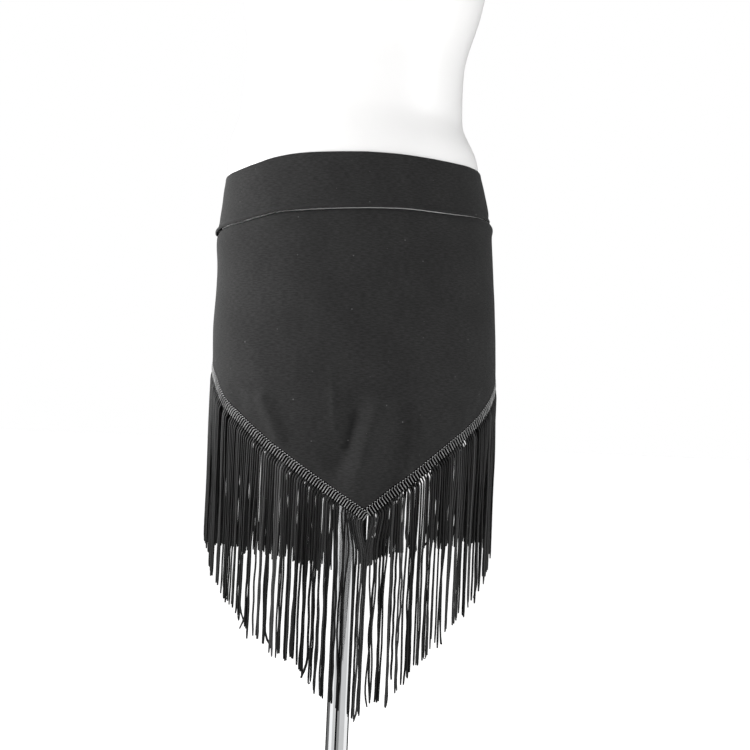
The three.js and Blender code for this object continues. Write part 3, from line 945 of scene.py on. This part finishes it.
# %% Places along the trim
BRAID_WIDTH = 10.8 * MM
RIDGE_TOP = 1.4 * MM                 # where the ridges start, below the braid's upper edge
OVERLAP = 7.5 * MM                   # how far the left trim runs on past the point, over the right one
LAP = 0.8 * MM                       # how much higher it lies there


def trim_run(side, start, stop, past, pitch):
    """Arc lengths, heights and trim lengths along a stretch of hem, which may run on past its end."""
    arc = np.linspace(start, stop, 1601)
    z = hem_line(side, arc)
    way = np.array([arc[-1] - arc[-9], z[-1] - z[-9]])
    way /= np.linalg.norm(way)
    if past:
        arc, z = np.append(arc, arc[-1] + past * way[0]), np.append(z, z[-1] + past * way[1])
    along = np.concatenate([[0], np.cumsum(np.hypot(np.diff(arc), np.diff(z)))])
    return {"side": side, "arc": arc, "z": z, "along": along, "past": past, "pitch": pitch}


REACH = {side: HALF_WIDTH[side] - SEAM_GAP / 2 for side in SIDES}
TRIM_RUNS = [
    trim_run("front", -REACH["front"], 0, OVERLAP, 3.1 * MM),
    trim_run("front", 0, REACH["front"], 0, 3.4 * MM),
    trim_run("back", -REACH["back"], REACH["back"], 0, 3.2 * MM),
]


def trim_point(run, along, down):
    """Arc and height of a place along the hem and a distance square to it, and that way."""
    step = 1.5 * MM
    arc, z = (np.interp(along, run["along"], run[key]) for key in ("arc", "z"))
    over, up = (
        np.interp(along + step, run["along"], run[key]) - np.interp(along - step, run["along"], run[key])
        for key in ("arc", "z"))
    size = np.hypot(over, up)
    return arc + down * up / size, z - down * over / size, up / size, -over / size


def on_top(run, along):
    """1 where the left trim lies over the right one at the point."""
    return eased((along - (run["along"][-1] - 2 * OVERLAP)) / OVERLAP) if run["past"] else 0.0 * along


for run in TRIM_RUNS:
    print(run["side"], "trim", round(float(run["along"][-1]), 3), "m")

# %% [markdown]
# Tubes along many paths at once make the ridges, the stitches and the strands. A path's own direction and
# the way out of the skirt give each ring of a tube its axes, so no tube twists.

# %% Tubes
def tube_mesh(paths, outward, wide, high, sides):
    """Tubes along paths of shape (count, steps, 3). wide and high are the half sizes at each step."""
    count, steps = paths.shape[:2]
    ahead = np.gradient(paths, axis=1)
    ahead /= np.linalg.norm(ahead, axis=-1, keepdims=True)
    across = np.cross(ahead, outward)
    across /= np.linalg.norm(across, axis=-1, keepdims=True)
    up = np.cross(across, ahead)
    turn = np.arange(sides) * 2 * math.pi / sides
    ring = (
        np.cos(turn)[:, None] * (wide[..., None, None] * across[:, :, None])
        + np.sin(turn)[:, None] * (high[..., None, None] * up[:, :, None]))
    points = (paths[:, :, None] + ring).reshape(-1, 3)

    tube, step, spoke = np.meshgrid(np.arange(count), np.arange(steps - 1), np.arange(sides), indexing="ij")
    corner = lambda s, k: (tube * steps + s) * sides + k % sides
    quads = np.stack([corner(step, spoke), corner(step, spoke + 1), corner(step + 1, spoke + 1),
                      corner(step + 1, spoke)], -1).reshape(-1, 4)
    first = (np.arange(count) * steps * sides)[:, None] + np.arange(sides)
    last = first + (steps - 1) * sides
    faces = quads.tolist() + first[:, ::-1].tolist() + last.tolist()

    length = np.concatenate(
        [np.zeros((count, 1)), np.cumsum(np.linalg.norm(np.diff(paths, axis=1), axis=-1), 1)], 1)
    lengths = length[tube, step], length[tube, step + 1]
    turns = spoke / sides, (spoke + 1) / sides
    corner_map = np.stack([
        np.stack([turns[0], lengths[0]], -1), np.stack([turns[1], lengths[0]], -1),
        np.stack([turns[1], lengths[1]], -1), np.stack([turns[0], lengths[1]], -1)], -2).reshape(-1, 2)
    caps = np.zeros((2 * count * sides, 2))
    return points, faces, np.concatenate([corner_map, caps])


def joined(parts):
    """One mesh from several, each points, faces, corner map and tone. Quads and caps keep their order."""
    points, faces, maps, tones = [], [], [], []
    start = 0
    for part_points, part_faces, part_map, part_tone in parts:
        points.append(part_points)
        faces += [[corner + start for corner in face] for face in part_faces]
        maps.append(part_map)
        tones.append(part_tone)
        start += len(part_points)
    return np.concatenate(points), faces, np.concatenate(maps), np.concatenate(tones)


def domed(steps, end):
    """A size along a tube that rounds off at both ends over a part of its length."""
    part = np.linspace(0, 1, steps)
    near = np.minimum(part, 1 - part) / end
    return np.sqrt(np.clip(1 - (1 - np.clip(near, 0, 1)) ** 2, 0.04, 1))


# %% Braid
BRAID_SEEDS = {"front": 11, "back": 12}
RIDGE = {"wide": 0.48 * MM, "high": 0.85 * MM, "out": 1.95 * MM, "arch": 0.4 * MM, "steps": 12, "sides": 8}
HOOK = {"by": 1.2 * MM, "part": 0.25}    # how far the top of a ridge bends over sideways
STITCH = {"down": 1.1 * MM, "radius": 0.52 * MM, "out": 2.6 * MM, "sag": 0.25 * MM, "steps": 6, "sides": 6}
STITCH_SPAN = (0.3, 0.78)                # from where to where in a gap
TAPE = {"out": 1.15 * MM, "thick": 0.5 * MM, "wide": 11.4 * MM}
UNEVEN = {"slant": 0.14 * MM, "place": 0.1 * MM, "width": (0.9, 1.08)}
# Ridges differ in tone at random. Stitches are coloured paler, a painted highlight that shows them as bright
# dots.
TONES_AND_PAINTED_HIGHLIGHT = {"ridge": (0.3, 1.0), "stitch": (0.9, 1.8)}


def ridge_places(run):
    length = run["along"][-1]
    count = round(length / run["pitch"])
    return (np.arange(count) + 0.5) * length / count


def braid_parts(run, rng):
    side = run["side"]
    along = ridge_places(run)
    pitch = along[1] - along[0]
    count = len(along)

    # The ridges run down across the braid, square to the hem. Each bends over at its upper end, like a hook.
    part = np.linspace(0, 1, RIDGE["steps"])[None, :]
    down = RIDGE_TOP + (BRAID_WIDTH - RIDGE_TOP) * part
    slant = rng.normal(0, UNEVEN["slant"], (count, 1)) * part
    slant = slant + HOOK["by"] * np.clip(1 - part / HOOK["part"], 0, 1) ** 2
    arc, z, _, _ = trim_point(run, along[:, None] + slant, down)
    arch = RIDGE["arch"] * np.sin(math.pi * part) + LAP * on_top(run, along)[:, None]
    off = RIDGE["out"] + arch + rng.normal(0, UNEVEN["place"], (count, 1))
    middle, outward = skirt_point(side, arc, z, off)
    dome = np.broadcast_to(domed(RIDGE["steps"], 0.12), arc.shape)
    size = rng.uniform(*UNEVEN["width"], (count, 1))
    points, faces, corner_map = tube_mesh(
        middle, outward, RIDGE["wide"] * dome * size, RIDGE["high"] * dome, RIDGE["sides"])
    tone = np.repeat(rng.uniform(*TONES_AND_PAINTED_HIGHLIGHT["ridge"], count), RIDGE["steps"] * RIDGE["sides"])
    parts = [(points, faces, corner_map, tone)]

    # A short stitch crosses each gap at the cloth's edge, and shows as a dot because its colour is painted
    # paler, a painted highlight.
    gap = along[:-1, None] + pitch * np.linspace(*STITCH_SPAN, STITCH["steps"])[None, :]
    sag = STITCH["sag"] * np.sin(math.pi * np.linspace(0, 1, STITCH["steps"]))[None, :]
    lift = LAP * on_top(run, gap) - sag
    down = STITCH["down"] + rng.normal(0, UNEVEN["place"], (count - 1, 1))
    arc, z, _, _ = trim_point(run, gap, down)
    middle, outward = skirt_point(side, arc, z, STITCH["out"] + lift)
    dome = np.broadcast_to(domed(STITCH["steps"], 0.3), arc.shape) * STITCH["radius"]
    points, faces, corner_map = tube_mesh(middle, outward, dome, dome, STITCH["sides"])
    tone = np.repeat(rng.uniform(*TONES_AND_PAINTED_HIGHLIGHT["stitch"], count - 1), STITCH["steps"] * STITCH["sides"])
    parts.append((points, faces, corner_map, tone))
    return parts


def tape_part(run):
    """The flat tape under the ridges, as a closed loft."""
    along = np.linspace(0, run["along"][-1], 2 * len(ridge_places(run)))[:, None]
    edge = TAPE["wide"] * np.array([0, 1, 1, 0])[None, :]
    off = TAPE["out"] - TAPE["thick"] * np.array([0, 0, 1, 1])[None, :]
    arc, z, _, _ = trim_point(run, along, edge)
    rings, _ = skirt_point(run["side"], arc, z, off + LAP * on_top(run, along))
    faces = loft(rings)
    tape_map = np.stack([np.broadcast_to(edge, z.shape), np.broadcast_to(along, z.shape)], -1).reshape(-1, 2)
    return rings.reshape(-1, 3), faces, corners_of(faces, tape_map), np.zeros(rings[..., 0].size)


trimmings = {side: [] for side in SIDES}
for side in SIDES:
    rng = np.random.default_rng(BRAID_SEEDS[side])
    runs = [run for run in TRIM_RUNS if run["side"] == side]
    cords = joined([part for run in runs for part in braid_parts(run, rng)])
    tapes = joined([tape_part(run) for run in runs])
    for name, material, made in ((f"braid_{side}", BRAID_YARN_PAINTED_PALE, cords), (f"tape_{side}", TAPE_YARN, tapes)):
        points, faces, corner_map, tone = made
        trimmings[side].append(make_piece(
            name, points, faces, material, [], corner_map, TWIST_MAP, tone))

# %% [markdown]
# ## The strands
# One strand leaves the lower end of each ridge in front, and two at the back, which is fuller. A strand
# follows the ridge's direction at first and turns plumb within a finger's width. Lower down the strands
# cling together in twos to fives, or hang singly, with open gaps between. Hair particles would give fine
# lines but no meshes to keep, so every strand is a slender six-sided tube, worked out for all of them at
# once. Here and there the fringe parts and lets light through.

# %% Lengths and partings
FRINGE_LENGTH = 203 * MM             # from the top of the braid to a tip
LONGER = {
    # arc from the middle, and how much longer than that the strands are
    "front": MM * np.array([
        (-219, -26), (-190, -22), (-168, -7), (-140, -6), (-100, 1), (-80, 2), (-60, -7), (-42, 2), (-20, 12),
        (0, 13), (25, 12), (49, 6), (75, 5), (110, -1), (150, 0), (219, -4)]),
    "back": MM * np.array([
        (-226, -10), (-150, -9), (-60, -9), (0, 0), (60, -9), (90, -14), (145, -14), (226, -8)]),
}
PARTINGS = {
    # arc of the middle, half the width, and the share of strands missing
    "front": [(-169, 2, 0.95), (-156, 1.2, 0.9), (-18, 11.5, 0.3), (46, 5, 0.4), (134, 1.5, 0.9)],
    "back": [(108, 8, 0.9), (84, 9, 0.5), (-163, 4, 0.9), (164, 3, 0.8)],
}
ON_RIDGE = {"front": 1, "back": 2}   # strands on a ridge
BUNDLE = {
    # arc, the fewest and the most strands in a bundle there, and how far towards its middle they hang
    "front": np.array([
        (-219, 1, 5, 0.5), (-140, 1, 5, 0.46), (-60, 1, 4, 0.58), (20, 1, 3, 0.5), (60, 1, 4, 0.42),
        (219, 1, 5, 0.6)]),
    "back": np.array([(-226, 1, 5, 0.1), (226, 1, 5, 0.1)]),
}


def kept_strands(side, hang, rng):
    """Which strands are there, once the partings are taken out."""
    missing = np.zeros(len(hang))
    for middle, half, share in PARTINGS[side]:
        missing = np.maximum(missing, share * (np.abs(hang - middle * MM) < half * MM))
    return rng.random(len(hang)) >= missing


def clumped(side, hang, rng):
    """Splits strands in a row into bundles, and gives each strand's bundle number."""
    rows = BUNDLE[side]
    sizes = []
    while sum(sizes) < len(hang):
        fewest, most = (np.interp(hang[sum(sizes)] / MM, rows[:, 0], rows[:, i]) for i in (1, 2))
        sizes.append(int(rng.integers(round(fewest), round(most) + 1)))
    return np.repeat(np.arange(len(sizes)), sizes)[:len(hang)]


# %% Strand paths
STRAND_START = 9.6 * MM
STRAND_OUT = 1.55 * MM               # off the skirt's surface
BEND = 9 * MM                        # length over which a strand turns plumb
STRAND_STEPS = 34
STRAND_RADIUS = 1.17 * MM
RAGGED = {"strand": 1.8 * MM, "bundle": 3 * MM}
SHORT = {"by": 7 * MM, "share": 0.1}     # a few strands are cut or shrunk shorter
# How far the fringe stands out just under the braid, and where it starts and stops doing so.
SWELL = {"by": 1.7 * MM, "rise": 9 * MM, "fall_from": 30 * MM, "fall": 110 * MM}
FAN = 8.2 * MM                       # how far the strands by the point spread in under it
FAN_REACH = 30 * MM
FAN_LENGTH = 45 * MM
CLING_FROM = (14, 45)                # where strands start to lean together, down from the braid's top
CLING_BY = 0.55                      # and the part of their length by which they hang together
SCATTER = {"bundle_pull": 0.1, "strand_pull": 0.06, "bundle_lean": 0.5 * MM}
MOST_PULL = 0.95
LOOSE = {"from": 25 * MM, "over": 80 * MM}
WANDER = [(0.65, 90, 170), (0.2, 25, 50)]    # how far a strand wanders, and the shortest and longest wave
CURL = {"by": 5 * MM, "share": 0.07, "length": 20 * MM}
DEPTH = {"root": 0.2 * MM, "loose": 0.9 * MM}


def strand_paths(run, rng):
    side = run["side"]
    share = (np.arange(ON_RIDGE[side]) + 0.5) / ON_RIDGE[side] - 0.5
    along = (ridge_places(run)[:, None] + run["pitch"] * share).ravel()
    arc0, z0, arc_way, z_way = trim_point(run, along, 0.0)
    keep = kept_strands(side, arc0 + arc_way * BRAID_WIDTH, rng)
    arc0, z0, arc_way, z_way = (values[keep][:, None] for values in (arc0, z0, arc_way, z_way))
    count = len(arc0)
    hang = (arc0 + arc_way * (BRAID_WIDTH + BEND / 2))[:, 0]
    bundle = clumped(side, hang, rng)
    bundles = bundle.max() + 1
    longer = LONGER[side]
    length = FRINGE_LENGTH + np.interp(arc0[:, 0], longer[:, 0], longer[:, 1])
    length += rng.normal(0, RAGGED["strand"], count) + rng.normal(0, RAGGED["bundle"], bundles)[bundle]
    length -= np.abs(rng.normal(0, SHORT["by"], count)) * (rng.random(count) < SHORT["share"])

    # Down the braid's direction, and eased into plumb.
    part = np.linspace(0, 1, STRAND_STEPS)[None, :] ** 1.2
    down = STRAND_START + (length[:, None] - STRAND_START) * part
    t = np.clip((down - BRAID_WIDTH) / BEND, 0, 1)
    plumb = BEND * (t ** 3 - t ** 4 / 2) + np.maximum(down - BRAID_WIDTH - BEND, 0)
    fan = FAN * (1 - eased(np.abs(arc0) / FAN_REACH)) * (side == "front")
    arc = arc0 + arc_way * (down - plumb) - np.sign(arc_way) * fan * eased((down - STRAND_START) / FAN_LENGTH)
    z = z0 + z_way * (down - plumb) - plumb
    z_bent = z0 + z_way * (BRAID_WIDTH + BEND / 2) - BEND / 2
    arc = np.clip(arc, -HALF_WIDTH[side], HALF_WIDTH[side])
    swell = SWELL["by"] * eased((down - STRAND_START) / SWELL["rise"])
    swell = swell * (1 - eased((down - SWELL["fall_from"]) / SWELL["fall"]))
    points, outward = skirt_point(side, arc, np.maximum(z, z_bent), STRAND_OUT + swell)
    points[..., 2] = z
    toward_arc = np.stack([-outward[..., 1], outward[..., 0], np.zeros(arc.shape)], -1) * SIDES[side]

    # Bundles: each strand leans to its bundle's middle, from a place down its length on.
    middle = np.array([hang[bundle == b].mean() for b in range(bundles)])
    starts = rng.uniform(*CLING_FROM, bundles) * MM
    rows = BUNDLE[side]
    pull = np.interp(middle / MM, rows[:, 0], rows[:, 3]) + rng.normal(0, SCATTER["bundle_pull"], bundles)
    pull = np.clip(pull[bundle] + rng.normal(0, SCATTER["strand_pull"], count), 0, MOST_PULL)
    lean = (middle[bundle] - hang) * pull + rng.normal(0, SCATTER["bundle_lean"], bundles)[bundle]
    start = starts[bundle][:, None]
    sway = eased((down - start) / (CLING_BY * FRINGE_LENGTH - start))
    sideways = lean[:, None] * sway

    # Each strand wanders a little by itself, and some curl at the tip.
    loose = eased((down - LOOSE["from"]) / LOOSE["over"])
    for size, shortest, longest in WANDER:
        wave = rng.uniform(shortest, longest, (count, 1)) * MM
        sideways = sideways + rng.normal(0, size * MM, (count, 1)) * loose * np.sin(
            2 * math.pi * (down / wave + rng.random((count, 1))))
    curl = rng.normal(0, CURL["by"], count) * (rng.random(count) < CURL["share"])
    near_tip = np.clip((down - length[:, None] + CURL["length"]) / CURL["length"], 0, 1)
    sideways = sideways + curl[:, None] * near_tip ** 2
    depth = rng.normal(0, DEPTH["root"], (count, 1)) + rng.normal(0, DEPTH["loose"], (count, 1)) * loose
    points = points + toward_arc * sideways[..., None] + outward * depth[..., None]
    return points, outward, bundle


# %% [markdown]
# The yarn is a chain of loops, so not every strand ends in a cut tip: some neighbours are joined at the
# bottom by a small loop. It is one more short tube, from one tip round to the other.

# %% Strands
STRAND_SEEDS = {"front": 34, "back": 22}
STRAND_SIDES = 6
TAPER = {"from": 0.97, "to": 0.75}   # a strand thins at its tip
LOOP_STEPS = 9
LOOP_SHARE = 0.06
LOOP_REACH = 7 * MM
LOOP_RADIUS = 0.5 * MM
LOOP_DROP = 1.6 * MM                 # at least
LOOP_TONE = 0.4
# Painted highlight: the few strands and bundles that would catch the light are coloured paler by these
# amounts.
PAINTED_HIGHLIGHT_STRANDS = 7                     # how much paler the few strands and bundles that catch the light are
PAINTED_HIGHLIGHT_BUNDLES = 6


def loop_paths(paths, bundle, rng):
    """Half circles under pairs of tips that hang close together."""
    left, right = paths[:-1, -1], paths[1:, -1]
    near = (np.linalg.norm(right - left, axis=1) < LOOP_REACH) & (bundle[:-1] == bundle[1:])
    near &= rng.random(len(near)) < LOOP_SHARE
    left, right = left[near][:, None], right[near][:, None]
    turn = np.linspace(0, math.pi, LOOP_STEPS)[None, :, None]
    drop = np.maximum(np.linalg.norm(right - left, axis=-1, keepdims=True) / 2, LOOP_DROP) * [0, 0, -1]
    return (left + right) / 2 + (left - right) / 2 * np.cos(turn) + drop * np.sin(turn)


def strand_parts(run, rng):
    paths, outward, bundle = strand_paths(run, rng)
    count = len(paths)
    part = np.linspace(0, 1, STRAND_STEPS)
    taper = np.where(part > TAPER["from"], TAPER["to"], 1.0) * np.ones((count, 1))
    thickness = STRAND_RADIUS * rng.uniform(0.85, 1.15, (count, 1)) * taper
    hanging = tube_mesh(paths, outward, thickness, thickness * 0.9, STRAND_SIDES)
    # Painted highlights: a few strands and whole bundles, picked at random, are coloured paler where rayon
    # would catch the light.
    painted_bundle_shine = np.random.default_rng(count).uniform(0, 1, bundle.max() + 1)[bundle]
    tone = PAINTED_HIGHLIGHT_STRANDS * rng.uniform(0, 1, count) ** 5 + PAINTED_HIGHLIGHT_BUNDLES * painted_bundle_shine ** 5
    tone = np.repeat(tone, STRAND_STEPS * STRAND_SIDES)
    loops = loop_paths(paths, bundle, rng)
    facing = np.broadcast_to(np.array([0.1, -SIDES[run["side"]], 0.05]), loops.shape)
    thin = np.full(loops.shape[:2], LOOP_RADIUS)
    looped = tube_mesh(loops, facing, thin, thin, STRAND_SIDES)
    return [(*hanging, tone), (*looped, np.full(len(looped[0]), LOOP_TONE))]


for side in SIDES:
    rng = np.random.default_rng(STRAND_SEEDS[side])
    parts = [part for run in TRIM_RUNS if run["side"] == side for part in strand_parts(run, rng)]
    points, faces, corner_map, tone = joined(parts)
    trimmings[side].append(make_piece(
        f"strands_{side}", points, faces, FRINGE_YARN, [f"fringe_{side}"],
        corner_map, TWIST_MAP, tone))

# %% [markdown]
# ## The cloth pieces
# The knit is stretched a little over the form, so each piece was cut narrower than it is worn. The loop
# below only reads each piece's side; no flat size is worked out.


for name, piece in cloth_pieces.items():
    side = name.split("_")[1]

# %% Sizes and the end
VISUAL_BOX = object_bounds()
({
    "cad": [list(corner) for corner in CAD_BOX],
    "visual": [list(corner) for corner in VISUAL_BOX],
})
